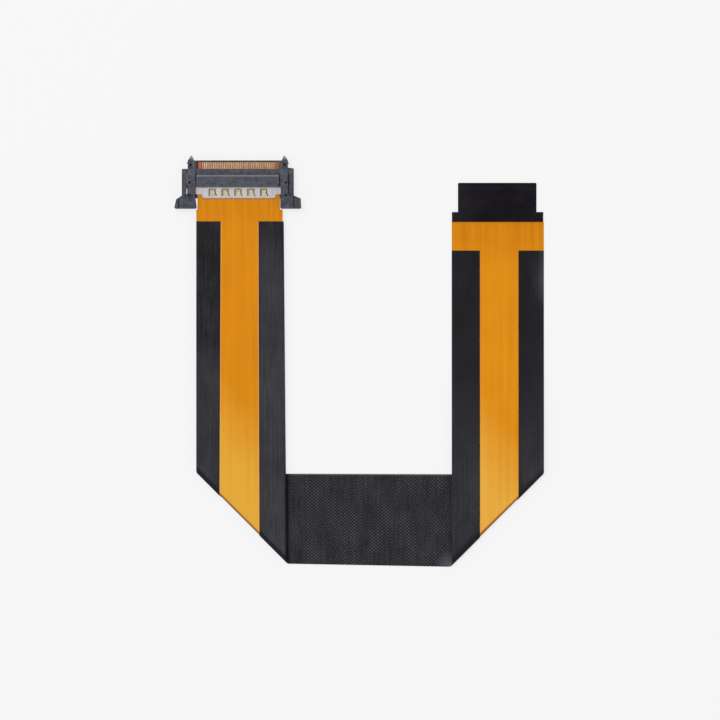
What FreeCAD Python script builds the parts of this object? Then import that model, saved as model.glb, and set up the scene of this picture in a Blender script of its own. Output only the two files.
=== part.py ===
import FreeCAD, Part
import math
import os

import Sketcher
from FreeCAD import Placement, Rotation, Vector

# Flat flex cable, folded flat into a U.
# A narrow ribbon runs down from a moulded plug, turns across through a 45 degree fold,
# and turns up again through a second one to a bare contact tail with a black stiffener.
# The ribbon is an amber film with a black woven shield wrapped round its back and edges.

os.makedirs("parts", exist_ok=True)
doc = FreeCAD.newDocument("flat_flex_cable")
sheet = doc.addObject("Spreadsheet::Sheet", "Sizes")


class Length:
    """A length in mm that carries its number and its formula over the sheet's cells."""

    def __init__(self, value, formula=None):
        self.value = float(value)
        self.formula = formula or "(%r)" % float(value)

    def joined(self, other, sign, value, swapped=False):
        left, right = (other, self) if swapped else (self, other)
        return Length(value, "(%s %s %s)" % (left.formula, sign, right.formula))

    def __add__(self, other):
        other = as_length(other)
        return self.joined(other, "+", self.value + other.value)

    def __sub__(self, other):
        other = as_length(other)
        return self.joined(other, "-", self.value - other.value)

    def __mul__(self, other):
        other = as_length(other)
        return self.joined(other, "*", self.value * other.value)

    def __truediv__(self, other):
        other = as_length(other)
        return self.joined(other, "/", self.value / other.value)

    def __rsub__(self, other):
        return as_length(other) - self

    def __neg__(self):
        return 0 - self

    __radd__ = __add__
    __rmul__ = __mul__


def as_length(number):
    return number if isinstance(number, Length) else Length(number)


def root(length):
    return Length(math.sqrt(length.value), "sqrt(%s)" % length.formula)


def size(alias, value):
    """Put one driving size in the sheet and return it as a Length."""
    row = size.rows = getattr(size, "rows", 0) + 1
    sheet.set("A%d" % row, alias)
    sheet.set("B%d" % row, str(value))
    sheet.setAlias("B%d" % row, alias)
    return Length(value, "Sizes.%s" % alias)


# Ribbon: thicknesses and widths. It widens slightly from the plug to the tail.
film_thickness = size("film_thickness", 0.16)
shield_thickness = size("shield_thickness", 0.12)
bond_gap = size("bond_gap", 0.01)
plug_end_width = size("plug_end_width", 24.3)
first_fold_width = size("first_fold_width", 25.1)
second_fold_width = size("second_fold_width", 25.6)
crease_inner_radius = size("crease_inner_radius", 0.45)

# Ribbon: lengths along its outer edges, measured from the corner of each fold.
first_leg_shield = size("first_leg_shield", 68.47)
first_leg_film = size("first_leg_film", 84.97)
neck_length = size("neck_length", 13.2)
neck_width = size("neck_width", 22.85)
neck_offset = size("neck_offset", 0.38)
outer_span = size("outer_span", 96.5)
second_corner_drop = size("second_corner_drop", 0.3)
second_leg_shield = size("second_leg_shield", 60.67)
second_leg_film = size("second_leg_film", 71.39)
bare_edge_inset = size("bare_edge_inset", 0.02)
bare_inner_inset = size("bare_inner_inset", 0.3)
droop_start = size("droop_start", 3.0)
droop_radius = size("droop_radius", 300.0)

# Shield flanges that fold over onto the front of the film.
plug_outer_flange = size("plug_outer_flange", 6.75)
plug_inner_flange = size("plug_inner_flange", 6.98)
first_outer_flange = size("first_outer_flange", 6.42)
first_inner_flange = size("first_inner_flange", 7.54)
second_outer_flange = size("second_outer_flange", 7.05)
second_inner_flange = size("second_inner_flange", 7.8)

# Tail: the narrower tongue and the T-shaped stiffener on its front.
tongue_width = size("tongue_width", 21.8)
tongue_length = size("tongue_length", 8.1)
tongue_corner = size("tongue_corner", 0.4)
stiffener_thickness = size("stiffener_thickness", 0.25)
stiffener_shoulder = size("stiffener_shoulder", 2.73)
stiffener_inner_inset = size("stiffener_inner_inset", 0.05)
stiffener_outer_inset = size("stiffener_outer_inset", 0.25)
tongue_shift = size("tongue_shift", 0.17)

# Contacts: plated fingers at one pitch, bare at both ends of the film.
contact_count = 41
contact_pitch = size("contact_pitch", 0.5)
contact_width = size("contact_width", 0.32)
contact_thickness = size("contact_thickness", 0.03)
tail_finger_length = size("tail_finger_length", 5.0)
finger_margin = size("finger_margin", 0.12)

# Levels, from the table up. The cross band lies lowest with its front down.
stack_thickness = shield_thickness * 2 + film_thickness + bond_gap * 2
shield_back = Length(0)
film_back = shield_thickness + bond_gap
film_front = film_back + film_thickness
flange_back = film_front + bond_gap
leg_level = stack_thickness + crease_inner_radius * 2
axis_level = stack_thickness + crease_inner_radius
crease_radius = crease_inner_radius + stack_thickness / 2
HALF_DIAGONAL = 1 / math.sqrt(2)
crease_advance = crease_radius * (math.pi * HALF_DIAGONAL)

# Droop of the second leg: two equal arcs that take it from the fold down to the table.
droop_cosine = 1 - leg_level / (droop_radius * 2)
droop_sine = root(1 - droop_cosine * droop_cosine)
droop_half = droop_radius * droop_sine
droop_end = droop_start + droop_half * 2

# Plug, in its own frame: x from its middle, y from the back of its feet, z from the table.
plug_length = size("plug_length", 13.42)
front_length = size("front_length", 2.36)
foot_half_width = size("foot_half_width", 17.59)
shoulder_half_width = size("shoulder_half_width", 15.53)
post_half_width = size("post_half_width", 13.9)
tray_clearance = size("tray_clearance", 0.35)
film_set_back = size("film_set_back", 0.42)
neck_half = neck_width / 2
tray_half = neck_half + tray_clearance
plug_shift = size("plug_shift", 0.25)
plug_middle = neck_offset + neck_half
housing_middle = plug_middle - plug_shift
plug_back = first_leg_film + film_set_back - plug_length

plug_shoulder = plug_length - front_length
tray_back = size("tray_back", 2.9)
deck_level = leg_level + film_back
film_top = leg_level + film_front
running_gap = size("running_gap", 0.02)

# Plug housing: columns, posts, latch arms and feet, mirrored about the middle.
foot_length = size("foot_length", 3.66)
foot_height = size("foot_height", 2.7)
left_foot_lean = size("left_foot_lean", 0.5)
left_foot_slope = size("left_foot_slope", 1.05)
left_foot_toe = size("left_foot_toe", 0.35)
right_foot_lean = size("right_foot_lean", 0.15)
right_foot_slope = size("right_foot_slope", 0.8)
foot_notch = size("foot_notch", 0.5)
foot_rounding = size("foot_rounding", 0.45)
foot_groove = size("foot_groove", 0.3)
foot_groove_depth = size("foot_groove_depth", 0.6)
left_pad_width = size("left_pad_width", 1.05)
right_pad_width = size("right_pad_width", 1.9)
column_height = size("column_height", 3.0)
arm_slot = size("arm_slot", 0.4)
arm_width = size("arm_width", 1.24)
arm_bottom = size("arm_bottom", 0.3)
arm_height = size("arm_height", 2.5)
arm_root = size("arm_root", 0.45)
shoulder_length = size("shoulder_length", 1.6)
right_post_rise = size("right_post_rise", 0.36)
right_arm_rise = size("right_arm_rise", 0.12)
right_slot_web = size("right_slot_web", 0.6)
left_stop_back = size("left_stop_back", 5.6)
left_stop_length = size("left_stop_length", 1.5)
left_stop_height = size("left_stop_height", 1.4)
post_height = size("post_height", 2.35)
post_inner_gap = size("post_inner_gap", 0.3)
latch_nub = size("latch_nub", 0.3)
latch_nub_inset = size("latch_nub_inset", 0.75)
horn_width = size("horn_width", 1.7)
horn_tip_width = size("horn_tip_width", 0.3)
horn_tip_inset = size("horn_tip_inset", 1.02)
horn_bottom = size("horn_bottom", 0.5)
horn_height = size("horn_height", 1.95)
horn_tip_height = size("horn_tip_height", 1.05)
bridge_length = size("bridge_length", 1.62)
bridge_height = size("bridge_height", 2.25)
lip_height = size("lip_height", 0.16)
lead_in = size("lead_in", 0.35)
dimple_diameter = size("dimple_diameter", 0.76)
dimple_depth = size("dimple_depth", 0.8)
dimple_side_gap = size("dimple_side_gap", 0.52)
dimple_front_gap = size("dimple_front_gap", 1.25)
dimple_middle_gap = size("dimple_middle_gap", 1.05)
dimple_back_gap = size("dimple_back_gap", 0.05)

# Cover bar, shield plate and the ground pads below the plate's windows.
cover_back = size("cover_back", 6.2)
cover_gap = size("cover_gap", 0.3)
cover_height = size("cover_height", 3.2)
cover_bevel = size("cover_bevel", 0.4)
cover_edge = size("cover_edge", 0.12)
plate_thickness = size("plate_thickness", 0.2)
plate_half_width = size("plate_half_width", 11.94)
plate_notch_gap = size("plate_notch_gap", 0.06)
plate_back = size("plate_back", 3.0)
plate_step = size("plate_step", 4.0)
plate_step_half_width = size("plate_step_half_width", 10.2)
plate_corner = size("plate_corner", 0.6)
window_count = 5
window_pitch = size("window_pitch", 3.57)
window_back = size("window_back", 3.49)
window_length = size("window_length", 2.06)
window_left = size("window_left", 1.22)
window_right = size("window_right", 0.78)
window_flare = size("window_flare", 0.4)
window_flare_length = size("window_flare_length", 0.9)
spring_slot = size("spring_slot", 0.34)
spring_tip_gap = size("spring_tip_gap", 0.26)
ground_pad_margin = size("ground_pad_margin", 0.1)

# The whole cable is centred on its own outline.
left_edge = housing_middle - foot_half_width
right_edge = outer_span
horn_length = size("horn_length", 1.35)
top_edge = plug_back + plug_length + horn_length
bottom_edge = -(second_corner_drop + second_fold_width + crease_advance)
shift_x = -(left_edge + right_edge) / 2
shift_y = -(top_edge + bottom_edge) / 2


def new_body(label, x=None, y=None, z=None):
    """Start a named body whose frame is placed in the cable's centred frame."""
    body = doc.addObject("PartDesign::Body", label)
    body.Label = label
    place = [as_length(0 if part is None else part) for part in (x, y, z)]
    place[0] = place[0] + shift_x
    place[1] = place[1] + shift_y
    body.Placement = Placement(Vector(*[part.value for part in place]), Rotation())
    for axis, part in zip("xyz", place):
        body.setExpression(".Placement.Base.%s" % axis, part.formula)
    return body


def blank_sketch(body, name, plane="XY_Plane", offset=(0, 0, 0), turn=0):
    """Attach an empty sketch to one of a body's own planes, shifted and turned in it."""
    sketch = body.newObject("Sketcher::SketchObject", name)
    origin = [item for item in body.Origin.OriginFeatures if item.Role == plane]
    sketch.AttachmentSupport = [(origin[0], "")]
    sketch.MapMode = "FlatFace"
    offset = [as_length(part) for part in offset]
    base = Vector(*[part.value for part in offset])
    sketch.AttachmentOffset = Placement(base, Rotation(Vector(0, 1, 0), turn))
    for axis, part in zip("xyz", offset):
        sketch.setExpression(".AttachmentOffset.Base.%s" % axis, part.formula)
    return sketch


def constrain(sketch, kind, place, length):
    """Hold one measure of a sketch to a length by its formula."""
    number = sketch.addConstraint(Sketcher.Constraint(kind, *place, length.value))
    sketch.setExpression("Constraints[%d]" % number, length.formula)


def outline(body, name, corners, plane="XY_Plane", offset=(0, 0, 0), turn=0):
    """Draw a closed outline. A corner is (x, y) or (x, y, radius) when an arc leaves it.

    A positive radius bends to the left of the way along, a negative one to the right.
    """
    sketch = blank_sketch(body, name, plane, offset, turn)
    points = [(as_length(corner[0]), as_length(corner[1])) for corner in corners]
    places = [Vector(x.value, y.value, 0) for x, y in points]
    count = len(points)
    arcs = []
    for index, corner in enumerate(corners):
        start, end = places[index], places[(index + 1) % count]
        if len(corner) == 3:
            radius = as_length(corner[2])
            chord = end - start
            rise = abs(radius.value) - math.sqrt(radius.value ** 2 - chord.Length ** 2 / 4)
            side = Vector(chord.y, -chord.x, 0).normalize() * math.copysign(rise, radius.value)
            middle = (start + end) * 0.5 + side
            sketch.addGeometry(Part.Arc(start, middle, end), False)
            arcs.append((index, radius if radius.value > 0 else -radius, radius.value > 0))
        else:
            sketch.addGeometry(Part.LineSegment(start, end), False)
    curved = {index: counter for index, radius, counter in arcs}
    first = [1 if curved.get(index, True) else 2 for index in range(count)]
    last = [2 if curved.get(index, True) else 1 for index in range(count)]
    for index in range(count):
        after = (index + 1) % count
        sketch.addConstraint(Sketcher.Constraint("Coincident", index, last[index], after, first[after]))
    for index, (x, y) in enumerate(points):
        constrain(sketch, "DistanceX", (-1, 1, index, first[index]), x)
        constrain(sketch, "DistanceY", (-1, 1, index, first[index]), y)
    for index, radius, counter in arcs:
        constrain(sketch, "Radius", (index,), radius)
    return sketch


def rectangle(left, right, low, high):
    return [(left, low), (right, low), (right, high), (left, high)]


def pad(body, name, corners, low, high, plane="XY_Plane"):
    """Extrude an outline between two levels along the plane's own normal."""
    low, high = as_length(low), as_length(high)
    sketch = outline(body, name + "_outline", corners, plane, (0, 0, low))
    feature = body.newObject("PartDesign::Pad", name)
    feature.Profile = sketch
    feature.Length = (high - low).value
    feature.setExpression("Length", (high - low).formula)
    return feature


def half_turn(body, name, corners, offset, turn, left_handed):
    """Carry a section half a turn round its crease axis, advancing as a 45 degree fold does."""
    sketch = outline(body, name + "_section", corners, "XZ_Plane", offset, turn)
    feature = body.newObject("PartDesign::AdditiveHelix", name)
    feature.Profile = sketch
    feature.ReferenceAxis = (sketch, ["H_Axis"])
    feature.Mode = "pitch-height-angle"
    feature.Pitch = (crease_radius * (2 * math.pi)).value
    feature.Height = (crease_radius * math.pi).value
    feature.setExpression("Pitch", (crease_radius * (2 * math.pi)).formula)
    feature.setExpression("Height", (crease_radius * math.pi).formula)
    feature.LeftHanded = left_handed
    return feature


# A station is a distance in from the ribbon's outer edge, at the plug end, at the first
# fold and at the second fold. Straight lines join the three, so every layer tapers alike.
outer = (Length(0), Length(0), Length(0))
inner = (plug_end_width, first_fold_width, second_fold_width)


def inset(station, distance):
    return tuple(part + distance for part in station)


def first_leg(near, far, top):
    """Plan of a layer of the first leg, from its top edge down to the first crease."""
    return [(near[0], top), (far[0], top), (far[1], -far[1]), (near[1], -near[1])]


def cross_band(near, far):
    """Plan of a layer of the band between the two creases."""
    return [
        (near[1] + crease_advance, -near[1] - crease_advance),
        (far[1] + crease_advance, -far[1] - crease_advance),
        (outer_span - far[2] - crease_advance, -second_corner_drop - far[2] - crease_advance),
        (outer_span - near[2] - crease_advance, -second_corner_drop - near[2] - crease_advance),
    ]


def second_leg_root(near, far):
    """Plan of a layer of the second leg from its crease up to where it starts to droop."""
    start = droop_start - second_corner_drop
    return [
        (outer_span - near[2], start),
        (outer_span - near[2], -second_corner_drop - near[2]),
        (outer_span - far[2], -second_corner_drop - far[2]),
        (outer_span - far[2], start),
    ]


def droop_profile(back, front, reach):
    """Side view of a layer of the second leg: down to the table through two arcs, then flat."""
    base = -second_corner_drop

    def surface(height):
        bend = (droop_radius + height) * droop_sine
        fall = (droop_radius + height) * (1 - droop_cosine)
        return [
            (base + droop_start, leg_level + height),
            (base + droop_start + bend, leg_level + height - fall),
            (base + droop_end, height),
            (base + reach, height),
        ]

    low, high = surface(back), surface(front)
    return [
        low[0] + (-(droop_radius + back),),
        low[1] + (droop_radius - back,),
        low[2],
        low[3],
        high[3],
        high[2] + (-(droop_radius - front),),
        high[1] + (droop_radius + front,),
        high[0],
    ]


def add_layer(body, name, near, far, back, front, top, reach):
    """Add one layer of the ribbon to the first leg, the cross band and the second leg."""
    pad(body, name + "_first_leg", first_leg(near, far, top), leg_level + back, leg_level + front)
    pad(body, name + "_band", cross_band(near, far), stack_thickness - front, stack_thickness - back)
    pad(body, name + "_second_root", second_leg_root(near, far), leg_level + back, leg_level + front)
    pad(body, name + "_second_leg", droop_profile(back, front, reach),
        outer_span - far[2], outer_span - near[2], "YZ_Plane")


def add_folds(body, section):
    """Add both creases. The section gives each corner's station and its depth in the stack."""
    for name, fold, offset, turn, left_handed in (
            ("first_crease", 1, (0, axis_level, 0), -45, False),
            ("second_crease", 2, (outer_span, axis_level, second_corner_drop), -135, True)):
        corners = [(station[fold] * math.sqrt(2), crease_inner_radius + depth)
                   for station, depth in section]
        half_turn(body, name, corners, offset, turn, left_handed)


# The film: one strip with a narrow neck for the plug and a tongue at the tail.
film_edge = inset(outer, film_back)
film_far_edge = inset(inner, -film_back)
film = new_body("flex_film")
neck_root = first_leg_film - neck_length
add_layer(film, "film", film_edge, film_far_edge, film_back, film_front,
          first_leg_shield + bond_gap, second_leg_film)
pad(film, "bare_end", rectangle(bare_edge_inset, plug_end_width - bare_inner_inset,
                                first_leg_shield + bond_gap, neck_root),
    leg_level + film_back, leg_level + film_front)
pad(film, "neck", rectangle(neck_offset, neck_offset + neck_width, neck_root, first_leg_film),
    leg_level + film_back, leg_level + film_front)
tongue_middle = outer_span - second_fold_width / 2 - tongue_shift
tongue_root = second_leg_film - second_corner_drop
board_back = tongue_root - stiffener_shoulder
pad(film, "bare_tail", rectangle(
    outer_span - second_fold_width + bare_edge_inset, outer_span - bare_edge_inset,
    second_leg_shield + bond_gap - second_corner_drop, board_back), film_back, film_front)
tongue_tip = tongue_root + tongue_length
tongue_left = tongue_middle - tongue_width / 2
tongue_right = tongue_middle + tongue_width / 2
tongue = [
    (tongue_right, tongue_root),
    (tongue_right, tongue_tip - tongue_corner, tongue_corner),
    (tongue_right - tongue_corner, tongue_tip),
    (tongue_left + tongue_corner, tongue_tip, tongue_corner),
    (tongue_left, tongue_tip - tongue_corner),
    (tongue_left, tongue_root),
]
pad(film, "tongue", tongue, film_back, film_front)
add_folds(film, [
    (film_edge, film_back), (film_far_edge, film_back),
    (film_far_edge, film_front), (film_edge, film_front),
])

# The shield: woven cloth over the whole back, round both edges and onto the front.
outer_lip = (plug_outer_flange, first_outer_flange, second_outer_flange)
inner_lip = (
    plug_end_width - plug_inner_flange,
    first_fold_width - first_inner_flange,
    second_fold_width - second_inner_flange,
)
wall = inset(outer, shield_thickness)
far_wall = inset(inner, -shield_thickness)
shield = new_body("shield_fabric")
reaches = (first_leg_shield, second_leg_shield)
add_layer(shield, "back", outer, inner, shield_back, shield_thickness, *reaches)
add_layer(shield, "outer_edge", outer, wall, shield_thickness, flange_back, *reaches)
add_layer(shield, "inner_edge", far_wall, inner, shield_thickness, flange_back, *reaches)
add_layer(shield, "outer_flange", outer, outer_lip, flange_back, stack_thickness, *reaches)
add_layer(shield, "inner_flange", inner_lip, inner, flange_back, stack_thickness, *reaches)
add_folds(shield, [
    (outer, shield_back), (inner, shield_back), (inner, stack_thickness),
    (inner_lip, stack_thickness), (inner_lip, flange_back), (far_wall, flange_back),
    (far_wall, shield_thickness), (wall, shield_thickness), (wall, flange_back),
    (outer_lip, flange_back), (outer_lip, stack_thickness), (outer, stack_thickness),
])


# The tail stiffener: a T-shaped backing board on the front of the film.
stiffener = new_body("end_stiffener")
board_left = outer_span - second_fold_width + stiffener_inner_inset
board_right = outer_span - stiffener_outer_inset
pad(stiffener, "board", [
    (board_left, board_back), (board_right, board_back), (board_right, tongue_root),
] + tongue + [(board_left, tongue_root)], film_front, film_front + stiffener_thickness)


def cut_down(body, name, sketch, depth):
    """Cut a sketch into a body, against the direction that its plane faces."""
    feature = body.newObject("PartDesign::Pocket", name)
    feature.Profile = sketch
    feature.Length = depth.value
    feature.setExpression("Length", depth.formula)
    return feature


def pocket(body, name, corners, top, depth, plane="XY_Plane"):
    sketch = outline(body, name + "_outline", corners, plane, (0, 0, top))
    return cut_down(body, name, sketch, depth)


def round_pocket(body, name, x, y, diameter, top, depth):
    sketch = blank_sketch(body, name + "_outline", offset=(0, 0, top))
    middle = Vector(as_length(x).value, as_length(y).value, 0)
    sketch.addGeometry(Part.Circle(middle, Vector(0, 0, 1), diameter.value / 2), False)
    constrain(sketch, "DistanceX", (-1, 1, 0, 3), as_length(x))
    constrain(sketch, "DistanceY", (-1, 1, 0, 3), as_length(y))
    constrain(sketch, "Radius", (0,), diameter / 2)
    return cut_down(body, name, sketch, depth)


def mirrored(corners, side):
    return [(corner[0] * side, corner[1]) + tuple(part * side for part in corner[2:])
            for corner in corners]


def top_edges(feature, level, reach=None):
    """Names of the straight edges that lie at a level and, where given, at y = reach."""
    names = []
    for index, edge in enumerate(feature.Shape.Edges):
        box = edge.BoundBox
        level_fits = abs(box.ZMin - level) < 1e-6 and abs(box.ZMax - level) < 1e-6
        reach_fits = reach is None or abs(box.YMin - reach) + abs(box.YMax - reach) < 1e-6
        if level_fits and reach_fits:
            names.append("Edge%d" % (index + 1))
    return names


def chamfer(body, name, base, edges, distance):
    feature = body.newObject("PartDesign::Chamfer", name)
    feature.Base = (base, edges)
    feature.Size = distance.value
    feature.setExpression("Size", distance.formula)
    return feature


# The housing: a tray for the film, with a column, post, latch arm and foot on each side.
housing = new_body("plug_housing", housing_middle, plug_back, 0)
post_inner = tray_half + post_inner_gap
slot_outer = shoulder_half_width - arm_width
slot_inner = slot_outer - arm_slot
plate_notch = plate_half_width + plate_notch_gap
tray = [
    (-post_half_width, plug_shoulder), (-post_half_width, plug_length),
    (post_half_width, plug_length), (post_half_width, plug_shoulder),
    (slot_inner, plug_shoulder), (slot_inner, tray_back),
    (-slot_inner, tray_back), (-slot_inner, plug_shoulder),
]
pad(housing, "tray", tray, 0, deck_level)
column = [
    (plate_notch, foot_length), (plate_notch, cover_back), (tray_half, cover_back),
    (tray_half, plug_shoulder), (slot_inner, plug_shoulder), (slot_inner, foot_length),
]
left_arm = mirrored(rectangle(slot_inner, shoulder_half_width, foot_length, plug_shoulder), -1)
right_arm = [
    (slot_inner, foot_length), (shoulder_half_width, foot_length),
    (shoulder_half_width, plug_shoulder + right_arm_rise),
    (post_half_width, plug_shoulder + right_post_rise),
    (post_half_width, plug_shoulder), (slot_inner, plug_shoulder),
]
slot = rectangle(slot_inner, slot_outer, foot_length + arm_root, plug_shoulder - shoulder_length)


def foot(toe, lean, slope):
    """Plan of a foot: its inner corner leans in by the toe, its outer side by the lean."""
    return [
        (tray_half - toe, foot_rounding, foot_rounding),
        (tray_half - toe + foot_rounding, 0),
        (foot_half_width - foot_rounding, 0, foot_rounding),
        (foot_half_width, foot_rounding),
        (foot_half_width - lean, foot_length - slope),
        (shoulder_half_width, foot_length),
        (plate_notch, foot_length),
        (tray_half, foot_length - foot_notch),
    ]


def groove(pad_width):
    """Plan of the groove that parts a foot's outer pad from the rest of it."""
    edge = foot_half_width - pad_width
    return rectangle(edge - foot_groove, edge, -foot_groove, foot_length + foot_groove)


post = [
    (post_inner, plug_shoulder), (post_half_width, plug_shoulder),
    (post_half_width, plug_length - latch_nub_inset - latch_nub),
    (post_half_width + latch_nub, plug_length - latch_nub_inset),
    (post_half_width, plug_length - latch_nub_inset + latch_nub),
    (post_half_width, plug_length), (post_inner, plug_length),
]
horn_outer = post_half_width - running_gap
horn_middle = horn_outer - horn_tip_inset
horn = [
    (horn_outer - horn_width, plug_length), (horn_outer, plug_length),
    (horn_middle + horn_tip_width / 2, plug_length + horn_length),
    (horn_middle - horn_tip_width / 2, plug_length + horn_length),
]
left_foot = mirrored(foot(left_foot_toe, left_foot_lean, left_foot_slope), -1)
right_foot = foot(Length(0), right_foot_lean, right_foot_slope)
for name, side, arm, foot_plan in (("left", -1, left_arm, left_foot),
                                   ("right", 1, right_arm, right_foot)):
    pad(housing, name + "_column", mirrored(column, side), 0, column_height)
    pad(housing, name + "_arm", arm, arm_bottom, arm_height)
    pad(housing, name + "_foot", foot_plan, 0, foot_height)
    pad(housing, name + "_post", mirrored(post, side), 0, post_height)
    pad(housing, name + "_horn", mirrored(horn, side), horn_bottom, horn_height)
bridge = rectangle(-tray_half, tray_half, plug_shoulder - bridge_length, plug_shoulder)
pad(housing, "bridge", bridge, film_top + contact_thickness + running_gap, bridge_height)
lip = rectangle(-post_inner, post_inner, plug_length - film_set_back + running_gap, plug_length)
pad(housing, "lip", lip, deck_level, film_top + lip_height)
blind_slot = column_height - arm_bottom - right_slot_web
for name, side, pad_width, slot_depth in (("left", -1, left_pad_width, column_height),
                                          ("right", 1, right_pad_width, blind_slot)):
    pocket(housing, name + "_slot", mirrored(slot, side), column_height, slot_depth)
    pocket(housing, name + "_groove", mirrored(groove(pad_width), side), foot_height, foot_groove_depth)
stop = rectangle(-slot_outer, -slot_inner, left_stop_back, left_stop_back + left_stop_length)
pad(housing, "left_stop", stop, arm_bottom, left_stop_height)
bevel = [
    (plug_length, horn_height), (plug_length + horn_length, horn_tip_height),
    (plug_length + horn_length, horn_height),
]
pocket(housing, "horn_bevel", bevel, post_half_width, post_half_width * 2, "YZ_Plane")
dimples = [
    ("front", (post_inner + post_half_width) / 2, plug_length - dimple_front_gap, post_height),
    ("middle", slot_inner - dimple_side_gap, cover_back + dimple_middle_gap, column_height),
    ("back", slot_inner - dimple_side_gap, foot_length + dimple_back_gap, column_height),
]
for name, x, y, top in dimples:
    for side_name, side in (("left", -1), ("right", 1)):
        dimple = round_pocket(housing, "%s_%s_dimple" % (side_name, name), x * side, y,
                              dimple_diameter, top, dimple_depth)
doc.recompute()
under_front = top_edges(dimple, 0.0, plug_length.value)
chamfer(housing, "lead_in", dimple, under_front, lead_in)

# The cover bar: clamps the film between the columns.
cover = new_body("plug_cover", housing_middle, plug_back, 0)
cover_half = tray_half - cover_gap
cover_front = plug_shoulder - bridge_length - running_gap
bar = pad(cover, "bar", rectangle(-cover_half, cover_half, cover_back, cover_front),
          film_top, cover_height)
doc.recompute()
front_bevel = chamfer(cover, "front_bevel", bar,
                      top_edges(bar, cover_height.value, cover_front.value), cover_bevel)
doc.recompute()
chamfer(cover, "back_edge", front_bevel,
        top_edges(front_bevel, cover_height.value, cover_back.value), cover_edge)

def flared(left, right, back, front):
    """A window or spring outline: straight on the left, and wider on the right at its root."""
    return [
        (left, back), (right + window_flare, back), (right, back + window_flare_length),
        (right, front), (left, front),
    ]


# The shield plate: stamped sheet with a row of windows, each with a lanced spring.
plate = new_body("ground_plate", plug_middle, plug_back, 0)
plate_low = film_top + contact_thickness
plate_high = plate_low + plate_thickness
plate_front = cover_back - running_gap
pad(plate, "sheet", [
    (-plate_step_half_width, plate_back + plate_corner, plate_corner),
    (-plate_step_half_width + plate_corner, plate_back),
    (plate_step_half_width - plate_corner, plate_back, plate_corner),
    (plate_step_half_width, plate_back + plate_corner),
    (plate_step_half_width, plate_step),
    (plate_half_width - plug_shift, plate_step),
    (plate_half_width - plug_shift, plate_front),
    (-plate_half_width - plug_shift, plate_front),
    (-plate_half_width - plug_shift, plate_step),
    (-plate_step_half_width, plate_step),
], plate_low, plate_high)
for index in range(window_count):
    middle = window_pitch * (index - (window_count - 1) / 2)
    window_front = window_back + window_length
    window = flared(middle - window_left, middle + window_right, window_back, window_front)
    pocket(plate, "window_%d" % (index + 1), window, plate_high, plate_thickness)
    spring = flared(middle - window_left + spring_slot, middle + window_right - spring_slot,
                    window_back, window_front - spring_tip_gap)
    pad(plate, "spring_%d" % (index + 1), spring, plate_low, plate_high)
    ground_pad = new_body("ground_pad_%d" % (index + 1), plug_middle, plug_back, 0)
    pad(ground_pad, "pad_%d" % (index + 1), rectangle(
        middle - window_left - ground_pad_margin,
        middle + window_right + window_flare + ground_pad_margin,
        window_back - ground_pad_margin, window_front + ground_pad_margin), film_top, plate_low)


def finger(name, middle, low_y, high_y, low_z):
    """One flat contact finger as a box whose sides follow the sheet."""
    box = doc.addObject("Part::Box", name)
    corner = (middle - contact_width / 2 + shift_x, low_y + shift_y, as_length(low_z))
    for side, part in (("Length", contact_width), ("Width", high_y - low_y),
                       ("Height", contact_thickness)):
        setattr(box, side, part.value)
        box.setExpression(side, part.formula)
    box.Placement = Placement(Vector(*[part.value for part in corner]), Rotation())
    for axis, part in zip("xyz", corner):
        box.setExpression(".Placement.Base.%s" % axis, part.formula)
    return box


# The conductors: each bare at the plug on the film's front and at the tail on its back.
conductors = []
for index in range(contact_count):
    across = contact_pitch * (index - (contact_count - 1) / 2)
    number = "%02d" % (index + 1)
    plug_tip = first_leg_film - finger_margin
    plug_end = plug_back + plug_shoulder - bridge_length + running_gap
    tail_tip = tongue_tip - finger_margin
    conductor = doc.addObject("Part::MultiFuse", "conductor_" + number)
    conductor.Shapes = [
        finger("plug_finger_" + number, plug_middle + across, plug_end, plug_tip, film_top),
        finger("tail_finger_" + number, tongue_middle + across,
               tail_tip - tail_finger_length, tail_tip, film_back - contact_thickness),
    ]
    conductor.Label = "conductor_" + number
    conductors.append(conductor)

doc.recompute()
bodies = [item for item in doc.Objects if item.TypeId == "PartDesign::Body"]
pieces = bodies + conductors
for item in doc.Objects:
    if "Invalid" in item.State or "Error" in item.State:
        raise RuntimeError("%s did not compute: %s" % (item.Name, item.State))
for piece in pieces:
    if piece.Shape.isNull() or not piece.Shape.isValid() or not piece.Shape.Solids:
        raise RuntimeError("%s has no valid solid" % piece.Label)
for piece in pieces:
    piece.Shape.exportStep("parts/%s.step" % piece.Label)
    print(piece.Label, len(piece.Shape.Solids), round(piece.Shape.Volume, 3))
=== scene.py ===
# %% [markdown]
# # A shielded flat flex cable, folded into a U
# This lesson dresses a small electronic part: an amber ribbon of laminated film, wrapped in
# black woven shielding cloth, with a moulded plug on one end and a stiffened tail on the other.
# The solid model is loaded first. It fixes every size and place, and nothing below moves it.

# %% Load the frame
import math

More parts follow.
